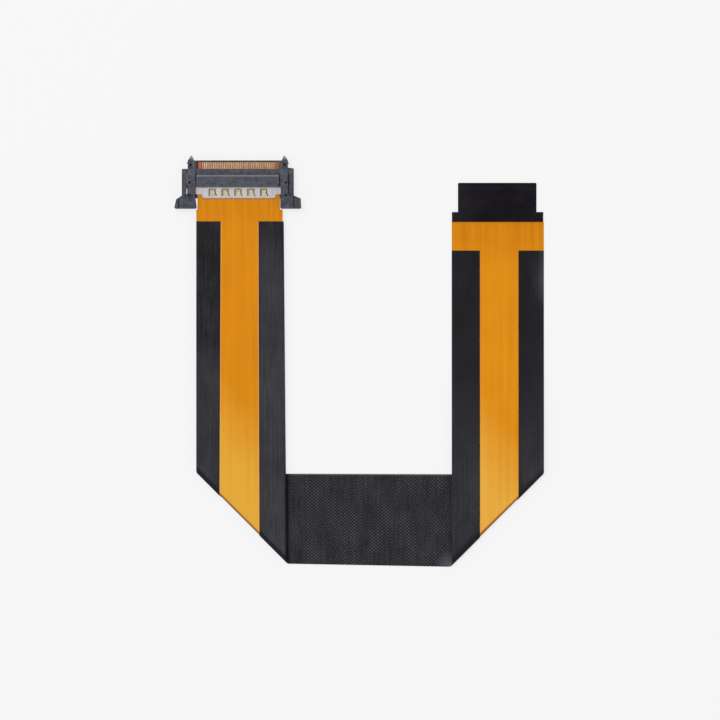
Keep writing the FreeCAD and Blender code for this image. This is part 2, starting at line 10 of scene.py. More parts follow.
import bmesh
import bpy
import numpy as np
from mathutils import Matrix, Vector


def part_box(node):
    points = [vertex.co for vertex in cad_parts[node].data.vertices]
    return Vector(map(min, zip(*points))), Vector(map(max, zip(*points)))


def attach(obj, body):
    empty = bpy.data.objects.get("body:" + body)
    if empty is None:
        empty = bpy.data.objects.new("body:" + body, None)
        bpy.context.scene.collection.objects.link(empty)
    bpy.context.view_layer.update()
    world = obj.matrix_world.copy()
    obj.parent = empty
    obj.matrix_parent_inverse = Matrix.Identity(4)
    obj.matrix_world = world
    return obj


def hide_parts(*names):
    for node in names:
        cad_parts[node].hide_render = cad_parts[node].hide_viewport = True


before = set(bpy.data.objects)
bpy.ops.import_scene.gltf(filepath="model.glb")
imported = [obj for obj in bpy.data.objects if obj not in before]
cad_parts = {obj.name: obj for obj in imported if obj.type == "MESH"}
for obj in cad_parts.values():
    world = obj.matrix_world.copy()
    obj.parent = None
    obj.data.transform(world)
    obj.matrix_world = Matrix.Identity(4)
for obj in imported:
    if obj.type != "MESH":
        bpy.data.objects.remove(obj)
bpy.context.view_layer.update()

MM = 0.001

# %% [markdown]
# ## A small language for materials
# Shader nodes are easier to read as sums. A socket is wrapped in a class whose operators add
# Math nodes, so a mask reads as an expression. Any other node comes from one method.

# %% Sockets with operators
class Shade:
    """A shader socket. Arithmetic on it adds Math nodes to its material."""

    def __init__(self, tree, socket):
        self.tree = tree
        self.socket = socket

    def node(self, kind, settings=(), inputs=(), output=0):
        """Add a node from its type, its settings and the values or links of its inputs."""
        added = self.tree.nodes.new(kind)
        for name, value in dict(settings).items():
            setattr(added, name, value)
        for name, value in dict(inputs).items():
            if isinstance(value, Shade):
                self.tree.links.new(value.socket, added.inputs[name])
            else:
                added.inputs[name].default_value = value
        return Shade(self.tree, added.outputs[output])

    def maths(self, operation, *values):
        """Add a Math node from its operation and its values."""
        return self.node("ShaderNodeMath", {"operation": operation}, dict(enumerate(values)))

    def __add__(self, other):
        return self.maths("ADD", self, other)

    def __sub__(self, other):
        return self.maths("SUBTRACT", self, other)

    def __rsub__(self, other):
        return self.maths("SUBTRACT", other, self)

    def __mul__(self, other):
        return self.maths("MULTIPLY", self, other)

    def __truediv__(self, other):
        return self.maths("DIVIDE", self, other)

    def __pow__(self, other):
        return self.maths("POWER", self, other)

    __radd__ = __add__
    __rmul__ = __mul__

    def sine(self):
        return self.maths("SINE", self)

    def size(self):
        return self.maths("ABSOLUTE", self)

    def larger(self, other):
        return self.maths("MAXIMUM", self, other)

    def axes(self):
        """The three numbers of a place, each as its own socket."""
        split = self.node("ShaderNodeSeparateXYZ", {}, {0: self}).socket.node
        return [Shade(self.tree, output) for output in split.outputs]

    def step(self, low, high):
        """Zero below one level and one above another, with an even slope between."""
        return self.node("ShaderNodeMapRange", {"clamp": True},
                         {"Value": self, "From Min": low, "From Max": high})

    def near(self, level, reach):
        """One at a level, and zero from a reach away on both sides."""
        return 1 - (self - level).size().step(0.0, reach)

    def noise(self, scale, stretch=(1, 1, 1), detail=3.0, rough=0.5):
        """Noise over a place, squeezed along some of its directions."""
        place = self.node("ShaderNodeMapping", {}, {"Vector": self, "Scale": stretch})
        return place.node("ShaderNodeTexNoise", {}, {
            "Vector": place, "Scale": scale, "Detail": detail, "Roughness": rough})

    def blend(self, first, second):
        """Mix two colours by this mask."""
        inputs = {0: self}
        for slot, colour in ((6, first), (7, second)):
            inputs[slot] = colour if isinstance(colour, Shade) else (*colour, 1.0)
        return self.node("ShaderNodeMix", {"data_type": "RGBA"}, inputs, 2)


class Finish:
    """A material on the Principled shader, started with its constants and its coordinates."""

    def __init__(self, name, **constants):
        self.material = bpy.data.materials.new(name)
        self.material.use_nodes = True
        self.tree = self.material.node_tree
        self.shader = self.tree.nodes["Principled BSDF"]
        for socket, value in constants.items():
            self.shader.inputs[socket.replace("_", " ")].default_value = value
        coordinates = Shade(self.tree, None).node("ShaderNodeTexCoord").socket.node.outputs
        self.place = Shade(self.tree, coordinates["Object"])
        self.unrolled = Shade(self.tree, coordinates["UV"])

    def feed(self, **sockets):
        """Link shades to the shader's sockets, named with underscores for spaces."""
        for name, shade in sockets.items():
            self.tree.links.new(shade.socket, self.shader.inputs[name.replace("_", " ")])

    def relief(self, height, distance):
        """Turn a height between 0 and 1 into a surface relief of that many metres."""
        self.feed(Normal=height.node("ShaderNodeBump", {}, {
            "Height": height, "Distance": distance, "Strength": 1.0}))

    def put_on(self, *pieces):
        """Give pieces this material in place of any other."""
        for piece in pieces:
            piece.data.materials.clear()
            piece.data.materials.append(self.material)
        print(self.material.name, "nodes", len(self.tree.nodes), "pieces", len(pieces))


def screen(red, green, blue):
    """A colour as a screen shows it, 0 to 255, turned into the linear light it stands for."""
    parts = np.array([red, green, blue]) / 255
    linear = np.where(parts <= 0.04045, parts / 12.92, ((parts + 0.055) / 1.055) ** 2.4)
    return tuple(float(v) for v in linear)


print("material helpers ready")

# %% [markdown]
# ## The ribbon's route
# The cable is one flat strip. It runs down from the plug, turns over through a 45 degree
# crease into the cross band, turns over again and runs up to the tail, sinking to the table.
# A point of the strip is named by its station in from the outer edge, its depth above the
# strip's back, and its place along. The same rule then serves both the film and the cloth.

# %% The strip's sizes
FILM, CLOTH, BOND = 0.16 * MM, 0.12 * MM, 0.01 * MM
FILM_BACK = CLOTH + BOND
FILM_FRONT = FILM_BACK + FILM
STACK = FILM + 2 * CLOTH + 2 * BOND
CREASE_INNER = 0.45 * MM
CREASE = CREASE_INNER + STACK / 2
WIDTHS = np.array([24.3, 25.1, 25.6]) * MM
SHIELD_TOP, FILM_TOP, NECK_LENGTH = 68.47 * MM, 84.97 * MM, 13.2 * MM
NECK_OFFSET, NECK_WIDTH = 0.38 * MM, 22.85 * MM
SPAN, CORNER_DROP = 96.5 * MM, 0.3 * MM
SHIELD_REACH, FILM_REACH = 60.67 * MM, 71.39 * MM
TONGUE_WIDTH, TONGUE_LENGTH, TONGUE_CORNER = 21.8 * MM, 8.1 * MM, 0.4 * MM
TONGUE_SHIFT, BOARD_INSET, BOARD_SHOULDER, STEP = 0.17 * MM, 0.25 * MM, 2.73 * MM, 0.05 * MM
DROOP_START, DROOP_RADIUS = 3.0 * MM, 300.0 * MM
CREASE_STEPS, DROOP_STEPS, CORNER_STEPS = 25, 16, 7
LEG_LEVEL = STACK + 2 * CREASE_INNER
ADVANCE = CREASE * math.pi / math.sqrt(2)
DROOP_ANGLE = math.acos(1 - LEG_LEVEL / (2 * DROOP_RADIUS))
DROOP_END = DROOP_START + 2 * DROOP_RADIUS * math.sin(DROOP_ANGLE)

tail_low, tail_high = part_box("end_stiffener")
CORNER_X = tail_high.x + BOARD_INSET - SPAN
CORNER_Y = tail_high.y - TONGUE_LENGTH - FILM_REACH + CORNER_DROP
print("outer corner of the first fold, in mm", round(CORNER_X / MM, 3), round(CORNER_Y / MM, 3))


# %% The strip's route in space
def rows(start, end, step=1.0 * MM):
    """Even levels from one to another as a column, about one step apart."""
    count = max(2, int(round(abs(end - start) / step)) + 1)
    return np.linspace(start, end, count)[:, None]


def route(stations, depths, bare=False, reach=SHIELD_REACH, tongue=0.0):
    """Carry lanes of the strip along its route, one row of places for each step.

    A lane keeps three stations: its distance in from the outer edge at the plug, at the first
    crease and at the second. Legs and band are straight lines between those. In a crease a
    lane turns half a turn round a diagonal line at the radius of its depth, and moves along
    that line by the same arc, so the strip keeps its length. The last leg sinks through two
    equal arcs. The second result is the distance along the strip.
    """
    near, first, second = stations
    half = math.sqrt(0.5)
    base = -CORNER_DROP
    radius = CREASE_INNER + depths
    axis_level = STACK + CREASE_INNER
    blocks = []

    def add(x, y, z, distance):
        block = np.stack(np.broadcast_arrays(x, y, z, distance), axis=-1)
        blocks.append(block[1:] if blocks else block)

    if bare:
        bare_levels = (FILM_TOP, FILM_TOP - NECK_LENGTH, SHIELD_TOP + STEP, SHIELD_TOP)
        for top, bottom in zip(bare_levels, bare_levels[1:]):
            lane_y = rows(top, bottom)
            add(near, lane_y, LEG_LEVEL + depths, SHIELD_TOP - lane_y)

    down = rows(0, 1, MM / SHIELD_TOP)
    lane_y = SHIELD_TOP - down * (first + SHIELD_TOP)
    add(near + (first - near) * down, lane_y, LEG_LEVEL + depths, SHIELD_TOP - lane_y)

    turn = np.linspace(0, math.pi, CREASE_STEPS)[:, None]
    slide = first + CREASE * turn * half
    swell = radius * np.sin(turn) * half
    add(slide - swell, -slide - swell, axis_level + radius * np.cos(turn),
        SHIELD_TOP + first + CREASE * turn / half)

    across = rows(0, 1, MM / SPAN)
    start_x, end_x = first + ADVANCE, SPAN - second - ADVANCE
    start_y, end_y = -first - ADVANCE, base - second - ADVANCE
    add(start_x + across * (end_x - start_x), start_y + across * (end_y - start_y),
        STACK - depths, SHIELD_TOP + first + 2 * ADVANCE + across * (end_x - start_x))

    turn = turn[::-1]
    slide = second + CREASE * turn * half
    swell = radius * np.sin(turn) * half
    add(SPAN - slide + swell, base - slide - swell, axis_level + radius * np.cos(turn),
        SHIELD_TOP + SPAN - second + CREASE * (math.pi - turn) / half)

    column_x = SPAN - second
    start = SHIELD_TOP + SPAN + 2 * ADVANCE
    up = rows(0, 1, MM / WIDTHS[2]) * (second + DROOP_START) - second
    add(column_x, base + up, LEG_LEVEL + depths, start + up)

    bend = np.linspace(0, DROOP_ANGLE, DROOP_STEPS)[:, None]
    add(column_x, base + DROOP_START + (DROOP_RADIUS + depths) * np.sin(bend),
        LEG_LEVEL - DROOP_RADIUS + (DROOP_RADIUS + depths) * np.cos(bend),
        start + DROOP_START + DROOP_RADIUS * bend)
    bend = bend[::-1]
    add(column_x, base + DROOP_END - (DROOP_RADIUS - depths) * np.sin(bend),
        DROOP_RADIUS - (DROOP_RADIUS - depths) * np.cos(bend),
        start + DROOP_START + DROOP_RADIUS * (2 * DROOP_ANGLE - bend))

    level = rows(DROOP_END, SHIELD_REACH)
    if tongue:
        level = np.concatenate([level, rows(SHIELD_REACH + STEP, reach - BOARD_SHOULDER),
                                rows(reach - BOARD_SHOULDER + STEP, reach)])
        rounding = np.sin(np.linspace(0, math.pi / 2, CORNER_STEPS))[:, None] * TONGUE_CORNER
        straight = rows(reach, reach + tongue - TONGUE_CORNER)
        level = np.concatenate([level, straight[1:], straight[-1] + rounding[1:]])
    add(column_x, base + level, depths, start + level)
    lanes = np.concatenate(blocks)
    return lanes[..., :3] + np.array([CORNER_X, CORNER_Y, 0.0]), lanes[..., 3]


print("one turn moves a lane by, in mm", round(ADVANCE / MM, 3))

# %% [markdown]
# ## From a grid of places to a mesh
# Each surface below is a grid of places. The map that unrolls it holds the place across the
# strip and the place along it, in millimetres, so a weave or a trace follows both creases.

# %% Grid to mesh
def smooth(piece, degrees=35):
    """Shade the faces smooth, and keep edges sharp where faces meet at more than an angle."""
    piece.data.shade_smooth()
    piece.data.set_sharp_from_angle(angle=math.radians(degrees))
    return piece


def skin(name, places, faces, across, along):
    """Make a closed mesh from places and groups of faces, dropping places that none uses."""
    kept = np.unique(np.concatenate([group.ravel() for group in faces]))
    renumbered = np.zeros(len(places), dtype=int)
    renumbered[kept] = np.arange(kept.size)
    mesh = bpy.data.meshes.new(name)
    mesh.from_pydata(places[kept].tolist(), [],
                     [face for group in faces for face in renumbered[group].tolist()])
    work = bmesh.new()
    work.from_mesh(mesh)
    bmesh.ops.recalc_face_normals(work, faces=work.faces)
    work.to_mesh(mesh)
    work.free()
    corners = np.empty(len(mesh.loops), dtype=np.int32)
    mesh.loops.foreach_get("vertex_index", corners)
    flat = np.stack([across, along], axis=-1)[kept][corners] / MM
    mesh.uv_layers.new(name="unrolled").data.foreach_set("uv", flat.astype(np.float32).ravel())
    piece = bpy.data.objects.new(name, mesh)
    bpy.context.scene.collection.objects.link(piece)
    return smooth(piece)


def tube(name, places, across, along):
    """A skin from rows of a closed section: quads between rows, and a flat cap at each end."""
    index = np.arange(places.shape[0] * places.shape[1]).reshape(places.shape[:2])
    after = np.roll(index, -1, axis=1)
    quads = np.stack([index[:-1], after[:-1], after[1:], index[1:]], axis=-1).reshape(-1, 4)
    across = np.broadcast_to(across, index.shape)
    return skin(name, places.reshape(-1, 3), [quads, index[:1], index[-1:]],
                across.ravel(), along.ravel())


def slab(name, top, bottom, cells, across, along):
    """A plate between two grids of places, kept only where its cells are on.

    Each kept cell gives one quad above and one below. A side wall stands on every grid edge
    where a kept cell meets a dropped one or the outside.
    """
    upper = np.arange(top.shape[0] * top.shape[1]).reshape(top.shape[:2])
    lower = upper + upper.size
    ring = np.pad(cells, 1)
    lengthwise = ring[1:-1, 1:] != ring[1:-1, :-1]
    crosswise = ring[1:, 1:-1] != ring[:-1, 1:-1]
    faces = [np.stack([grid[:-1, :-1], grid[:-1, 1:], grid[1:, 1:], grid[1:, :-1]], axis=-1)[cells]
             for grid in (upper, lower)]
    faces.append(np.stack([upper[:-1], upper[1:], lower[1:], lower[:-1]], axis=-1)[lengthwise])
    faces.append(np.stack([upper[:, :-1], upper[:, 1:], lower[:, 1:], lower[:, :-1]],
                          axis=-1)[crosswise])
    places = np.concatenate([top.reshape(-1, 3), bottom.reshape(-1, 3)])
    across = np.broadcast_to(across, upper.shape).ravel()
    return skin(name, places, faces, np.tile(across, 2), np.tile(along.ravel(), 2))


def belongs(piece, nodes):
    """Ride on the one body, and stand for CAD nodes by hiding them."""
    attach(piece, "root")
    if nodes:
        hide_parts(*nodes)
    print(piece.name, "faces", len(piece.data.polygons))
    return piece


print("mesh helpers ready")

# %% [markdown]
# ## The amber film
# The film is polyimide laminate with copper traces inside. Past the shield it is bare: it
# narrows to a neck inside the plug, and to a tongue with round corners at the tail. It is a
# grid plate whose cells are switched off beside the neck and the tongue.

# %% Shape of the film
EDGE_INSET, BARE_INSET, BARE_INNER_INSET = 0.17 * MM, 0.02 * MM, 0.3 * MM
TONGUE_NEAR = (WIDTHS[2] - TONGUE_WIDTH) / 2 + TONGUE_SHIFT
TONGUE_FAR = TONGUE_NEAR - 2 * TONGUE_SHIFT
NECK_INSET = WIDTHS[0] - NECK_OFFSET - NECK_WIDTH
TONGUE_START = SHIELD_TOP + SPAN + 2 * ADVANCE + FILM_REACH
FILM_COLUMNS = 24

inside = np.linspace(0, 1, FILM_COLUMNS)
stations = np.stack([np.concatenate([
    [EDGE_INSET, NECK_OFFSET], TONGUE_NEAR + inside * (width - TONGUE_NEAR - TONGUE_FAR),
    [width - NECK_INSET, width - EDGE_INSET]]) for width in WIDTHS])
top, along = route(stations, FILM_FRONT, bare=True, reach=FILM_REACH, tongue=TONGUE_LENGTH)
bottom, _ = route(stations, FILM_BACK, bare=True, reach=FILM_REACH, tongue=TONGUE_LENGTH)

column = np.arange(stations.shape[1] - 1)[None, :]
middle_row = (along[1:, :1] + along[:-1, :1]) / 2
in_neck = middle_row < SHIELD_TOP - FILM_TOP + NECK_LENGTH
trimmed = np.where(in_neck, 1, np.where(middle_row > TONGUE_START, 2, 0))
cells = (column >= trimmed) & (column < column.size - trimmed)
# The tongue's round corners: its outer lanes move in as a quarter of a circle does.
tip = np.clip(along[:, 0] - (TONGUE_START + TONGUE_LENGTH - TONGUE_CORNER), 0, TONGUE_CORNER)
pull_in = TONGUE_CORNER - np.sqrt(TONGUE_CORNER ** 2 - tip ** 2)
bare_end = along[:, 0] < -STEP / 2
bare_tail = ((along[:, 0] > TONGUE_START - FILM_REACH + SHIELD_REACH + STEP / 2)
             & (along[:, 0] < TONGUE_START - BOARD_SHOULDER + STEP / 2))
for places in (top, bottom):
    places[bare_end, 0, 0] = CORNER_X + BARE_INSET
    places[bare_end, -1, 0] = CORNER_X + WIDTHS[0] - BARE_INNER_INSET
    places[bare_tail, 0, 0] = CORNER_X + SPAN - BARE_INSET
    places[bare_tail, -1, 0] = CORNER_X + SPAN - WIDTHS[2] + BARE_INSET
    places[:, 2, 0] -= pull_in
    places[:, -3, 0] += pull_in
amber_film = belongs(slab("amber_film", top, bottom, cells, stations[1], along),
                     ["flex_film"])

# %% [markdown]
# ## The woven shield
# The real shield is a thin metallised cloth with a glue backing. It covers the back of the
# film, rolls round both edges and lies on the front as two flanges. It is modelled as cloth of
# its true thickness: a section like a flat letter C, with round edges, carried along the route.

# %% Section of the shield
NEAR_FLANGE = np.array([6.75, 6.42, 7.05]) * MM
FAR_FLANGE = np.array([6.98, 7.54, 7.8]) * MM


def shield_section(turns=5, flange_steps=7, back_steps=25):
    """The loop of a flat C: its outer skin from lip to lip, then its inner skin back again.

    Each edge is a half circle as high as the stack, and the inner skin is the same curve
    moved in by the cloth's thickness. Columns are the points of the loop, rows the three
    widths. The second result is the depth of each point, the third the way round the cloth.
    """
    mid = STACK / 2
    sweep = np.linspace(math.pi / 2, 3 * math.pi / 2, 2 * turns + 1)
    lip = np.linspace(1, 0, flange_steps + 1)[:-1]
    back = np.linspace(0, 1, back_steps + 1)[1:-1]
    skins = []
    for radius in (mid, mid - CLOTH):
        edge = mid + radius * np.cos(sweep)
        rise = mid + radius * np.sin(sweep)
        lanes = [np.concatenate([mid + lip * (near - mid), edge, mid + back * (width - 2 * mid),
                                 width - edge[::-1], width - mid - lip[::-1] * (far - mid)])
                 for width, near, far in zip(WIDTHS, NEAR_FLANGE, FAR_FLANGE)]
        flange, bottom = np.full(lip.size, mid + radius), np.full(back.size, mid - radius)
        skins.append((np.stack(lanes), np.concatenate([flange, rise, bottom, rise[::-1], flange])))
    (outer, outer_depths), (inner, inner_depths) = skins
    walked = np.hypot(np.diff(outer[1]), np.diff(outer_depths))
    way = np.concatenate([[0.0], np.cumsum(walked)])
    return (np.concatenate([outer, inner[:, ::-1]], axis=1),
            np.concatenate([outer_depths, inner_depths[::-1]]),
            np.concatenate([way, way[::-1]]))


stations, depths, way = shield_section()
places, along = route(stations, depths)
woven_shield = belongs(tube("woven_shield", places, way, along), ["shield_fabric"])
way_end = float(way.max())
cloth_cut = (way_end, float(along.max() - along.min()))
print("cloth cut in mm", [round(side / MM, 1) for side in cloth_cut])

# %% [markdown]
# ## Moulded and cut parts with soft edges
# The solid model's edges are perfectly sharp, which no moulded part is. A copy of each solid
# is welded, its flat faces are joined, and a small bevel rounds every edge so that it catches
# the light. Weighted normals then keep the flat faces flat. The shape stays the solid's own.

# %% Round the edges of a solid's copy
def rounded(node, name, width):
    """Weld a copy of a node's triangles, join its flat faces, and bevel its sharp edges."""
    work = bmesh.new()
    work.from_mesh(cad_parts[node].data)
    bmesh.ops.remove_doubles(work, verts=work.verts, dist=0.001 * MM)
    bmesh.ops.dissolve_limit(work, angle_limit=math.radians(1), verts=work.verts, edges=work.edges)
    mesh = bpy.data.meshes.new(name)
    work.to_mesh(mesh)
    work.free()
    mesh.materials.clear()
    piece = bpy.data.objects.new(name, mesh)
    bpy.context.scene.collection.objects.link(piece)
    smooth(piece, 30)
    bevel = piece.modifiers.new("rounding", "BEVEL")
    bevel.width = width
    bevel.segments = 2
    bevel.limit_method = "ANGLE"
    bevel.angle_limit = math.radians(30)
    level_faces = piece.modifiers.new("level faces", "WEIGHTED_NORMAL")
    level_faces.keep_sharp = True
    level_faces.weight = 100
    return belongs(piece, [node])


plug_shell = rounded("plug_housing", "plug_shell", 0.06 * MM)
clamp_bar = rounded("plug_cover", "clamp_bar", 0.05 * MM)
tail_board = rounded("end_stiffener", "tail_board", 0.03 * MM)

# %% [markdown]
# ## The slots beside the latch arms
# A narrow slot sets each latch arm off from its column. Hardly any light comes through the
# left one on the real plug, and the right one is blind and shallow. The corners of both slots
# are moved in the copy of the shell: their floors come up, and the left slot's walls close in.

# %% Close the slots
cover_low, cover_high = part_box("plug_cover")
housing_low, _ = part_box("plug_housing")
HOUSING_X = (cover_low.x + cover_high.x) / 2
SLOT_IN, SLOT_OUT, SLOT_MARGIN = 13.89 * MM, 14.29 * MM, 0.05 * MM
SLOT_BACK, SLOT_FRONT = 4.0 * MM, 9.6 * MM
STOP_BACK, STOP_FRONT = 5.6 * MM, 7.1 * MM
UNDERSIDE, SLOT_FLOOR = 0.5 * MM, 2.2 * MM
CLOSE_IN, CLOSE_OUT = 0.16 * MM, 0.165 * MM


def close_slots(corners):
    """Move the corners of both slots, and give back how many there are.

    A corner is in a slot when it lies between the slot's two walls and between its ends. One
    that is above the underside and below the new floor rises to it. On the left, the inner
    wall moves outwards, and the outer wall moves inwards in front of the stop, growing evenly
    along the stop.
    """
    aside, ahead, height = corners[:, 0] - HOUSING_X, corners[:, 1] - housing_low.y, corners[:, 2]
    in_slot = ((np.abs(aside) > SLOT_IN - SLOT_MARGIN) & (np.abs(aside) < SLOT_OUT + SLOT_MARGIN)
               & (ahead > SLOT_BACK) & (ahead < SLOT_FRONT))
    corners[in_slot & (height > UNDERSIDE) & (height < SLOT_FLOOR), 2] = SLOT_FLOOR
    at_outer_wall = aside < SLOT_MARGIN - SLOT_OUT
    grown = np.clip((ahead - STOP_BACK) / (STOP_FRONT - STOP_BACK), 0, 1)
    corners[:, 0] += (in_slot & (aside < 0)) * np.where(at_outer_wall, CLOSE_OUT * grown, -CLOSE_IN)
    return int(in_slot.sum())


corners = np.empty(3 * len(plug_shell.data.vertices))
plug_shell.data.vertices.foreach_get("co", corners)
print("slot corners moved", close_slots(corners.reshape(-1, 3)))
plug_shell.data.vertices.foreach_set("co", corners)
plug_shell.data.update()

# %% [markdown]
# ## The ground plate
# This is one strip of plated sheet. A press cuts five windows in it and leaves a tongue in
# each, rooted at the back and lifted at the tip as a contact spring. The plate is a grid whose
# lines follow the windows' slanted sides, so the slots are simply cells left out.

# %% Sizes of the ground plate
plate_low, plate_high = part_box("ground_plate")
PLUG_X = CORNER_X + NECK_OFFSET + NECK_WIDTH / 2
PLUG_Y = plate_low.y - 3.0 * MM
PLATE_NARROW, PLATE_CORNER = 10.2 * MM, 0.6 * MM
PLATE_BACK, PLATE_STEP, PLATE_FRONT = 2.9 * MM, 4.0 * MM, plate_high.y - PLUG_Y
WINDOW_COUNT, WINDOW_PITCH, WINDOW_BACK, WINDOW_LENGTH = 5, 3.57 * MM, 3.49 * MM, 2.06 * MM
WINDOW_LEFT, WINDOW_RIGHT = 1.22 * MM, 0.78 * MM
WINDOW_FRONT = WINDOW_BACK + WINDOW_LENGTH
FLARE, FLARE_LENGTH = 0.4 * MM, 0.9 * MM
SPRING_SLOT, SPRING_GAP, SPRING_LIFT = 0.34 * MM, 0.26 * MM, 0.22 * MM
SPRING_TIP = WINDOW_FRONT - SPRING_GAP
SPRING_STEPS, CLOSE_LEVELS, NEARLY, ROUNDED_TO = 13, 0.03 * MM, MM / 1e4, 7
print("springs", WINDOW_COUNT, "long, in mm", round((SPRING_TIP - WINDOW_BACK) / MM, 2))

# %% Shape of the ground plate
corner = PLATE_CORNER * (1 - np.cos(np.linspace(0, math.pi / 2, CORNER_STEPS)))
fixed = np.round([PLATE_BACK, WINDOW_BACK, PLATE_STEP, SPRING_TIP, WINDOW_FRONT], ROUNDED_TO)
levels = np.unique(np.round(np.concatenate([
    PLATE_BACK + corner, np.linspace(WINDOW_BACK, SPRING_TIP, SPRING_STEPS),
    [WINDOW_BACK + FLARE_LENGTH, PLATE_STEP, WINDOW_FRONT, PLATE_FRONT]]), ROUNDED_TO))
levels = levels[(np.diff(levels, prepend=0) > CLOSE_LEVELS) | np.isin(levels, fixed)]
y = levels[:, None]
# Two straight sides end in quarter circles at the back. Each window lies between straight
# lines, and its right-hand slot swings outwards evenly towards the spring's root.
into = np.clip(PLATE_BACK + PLATE_CORNER - y, 0, PLATE_CORNER)
side = PLATE_NARROW - PLATE_CORNER + np.sqrt(PLATE_CORNER ** 2 - into ** 2)
flare = FLARE * np.clip(1 - (y - WINDOW_BACK) / FLARE_LENGTH, 0, 1) * (y >= WINDOW_BACK - NEARLY)
columns = [plate_low.x - PLUG_X + 0 * y, -side]
for middle in WINDOW_PITCH * (np.arange(WINDOW_COUNT) - (WINDOW_COUNT - 1) / 2):
    columns += [middle - WINDOW_LEFT + 0 * y, middle - WINDOW_LEFT + SPRING_SLOT + 0 * y,
                middle + WINDOW_RIGHT - SPRING_SLOT + flare, middle + WINDOW_RIGHT + flare]
columns += [side, plate_high.x - PLUG_X + 0 * y]
x = np.concatenate(columns, axis=1)
print("grid of the plate", x.shape)

# %% Windows and springs of the ground plate
middle_y = (y[1:] + y[:-1]) / 2
cells = np.ones((x.shape[0] - 1, x.shape[1] - 1), dtype=bool)
cells[:, [0, -1]] = middle_y > PLATE_STEP
in_window = (middle_y > WINDOW_BACK) & (middle_y < WINDOW_FRONT)
# A spring rises with its distance from the root, to the power of one and a half.
along_spring = np.clip((levels - WINDOW_BACK) / (SPRING_TIP - WINDOW_BACK), 0, 1)
along_spring[levels > SPRING_TIP + NEARLY] = 0
lift = np.zeros_like(x)
for first in 2 + 4 * np.arange(WINDOW_COUNT):
    cells[:, [first, first + 2]] = ~in_window
    cells[:, first + 1] = ((~in_window) | (middle_y < SPRING_TIP))[:, 0]
    lift[:, first + 1:first + 3] = along_spring[:, None]
top = np.stack(np.broadcast_arrays(
    PLUG_X + x, PLUG_Y + y, plate_high.z + SPRING_LIFT * lift ** 1.5), axis=-1)
bottom = top - np.array([0, 0, plate_high.z - plate_low.z])
ground_sheet = slab("ground_sheet", top, bottom, cells, x, lift * MM)
bevel = ground_sheet.modifiers.new("sheared edge", "BEVEL")
bevel.width, bevel.segments, bevel.limit_method = 0.03 * MM, 2, "ANGLE"
bevel.angle_limit = math.radians(50)
belongs(ground_sheet, ["ground_plate"])

# %% [markdown]
# ## The comb on the plug's bridge
# Small ribs on the bridge keep the contacts apart on the real part. One rib is a block with
# sloping sides, and adding a row of offsets to its corners repeats it for every gap.

# %% Ribs between the contacts
CONTACTS, CONTACT_PITCH = 41, 0.5 * MM
BRIDGE_TOP, BRIDGE_BACK, BRIDGE_FRONT = 2.25 * MM, 9.52 * MM, 11.0 * MM
RIB_HALF, RIB_TOP_HALF, RIB_HEIGHT, RIB_ROOT = 0.11 * MM, 0.07 * MM, 0.1 * MM, 0.01 * MM
rib = np.array([[aside * half_width, ahead, height]
                for half_width, height in ((RIB_HALF, BRIDGE_TOP - RIB_ROOT),
                                           (RIB_TOP_HALF, BRIDGE_TOP + RIB_HEIGHT))
                for ahead in (BRIDGE_BACK, BRIDGE_FRONT) for aside in (-1, 1)])
rib_faces = np.array([[0, 2, 3, 1], [4, 5, 7, 6], [0, 1, 5, 4],
                      [2, 6, 7, 3], [0, 4, 6, 2], [1, 3, 7, 5]])
gaps = np.arange(CONTACTS + 1)
offsets = np.zeros((gaps.size, 1, 3))
offsets[:, 0, 0] = CONTACT_PITCH * (gaps - CONTACTS / 2)
places = (rib + offsets + np.array([PLUG_X, PLUG_Y, 0])).reshape(-1, 3)
faces = (rib_faces + len(rib) * gaps[:, None, None]).reshape(-1, 4)
comb_ribs = belongs(skin("comb_ribs", places, [faces], places[:, 0], places[:, 1]),
                    [])

# %% [markdown]
# ## Woven cloth
# A plain weave shows a checkerboard of crowns, where warp and weft pass over each other in
# turn. The product of two sines is that checkerboard. It stands out in patches on the band.
# The cloth is strained along the legs, so there the weave closes up, and faint lines and a
# few dots are left. The place on the strip tells band and legs apart: the first crease lies
# where the place along less the station is one number, and the second where their sum is.
# Broad stretches of the legs and band are painted lighter or darker as light and shade. One
# spot on the band is paler and its edge is frayed. The cloth is painted darker as shade where
# it bends into a crease and where one layer shades the next, and darker along its flanges' lips.

# %% Where the cloth lies, in millimetres on the unrolled cloth
CREASE_START, FIRST_CREASE = SHIELD_TOP / MM, (SHIELD_TOP + ADVANCE) / MM
SECOND_CREASE = (SHIELD_TOP + SPAN + ADVANCE) / MM
CREASE_END = SECOND_CREASE + ADVANCE / MM
CREASE_HALF = 0.3
WIDTH = WIDTHS[1] / MM
LIP_WAY = (NEAR_FLANGE[1] - STACK + math.pi * STACK / 2) / MM

cloth = Finish("shield_weave", Specular_IOR_Level=0.15)
way, along, _ = cloth.unrolled.axes()
# The way round the cloth, from lip to lip, is turned back into the distance from the edge.
station = WIDTH - (WIDTH - (way - LIP_WAY).size()).size()
from_first, from_second = along - station, along + station
second_leg = from_second.step(SECOND_CREASE - CREASE_HALF, SECOND_CREASE + CREASE_HALF)
band = from_first.step(FIRST_CREASE - CREASE_HALF, FIRST_CREASE + CREASE_HALF) * (1 - second_leg)
first_leg = 1 - band - second_leg
print("creases at, in mm", round(FIRST_CREASE, 2), round(SECOND_CREASE, 2))

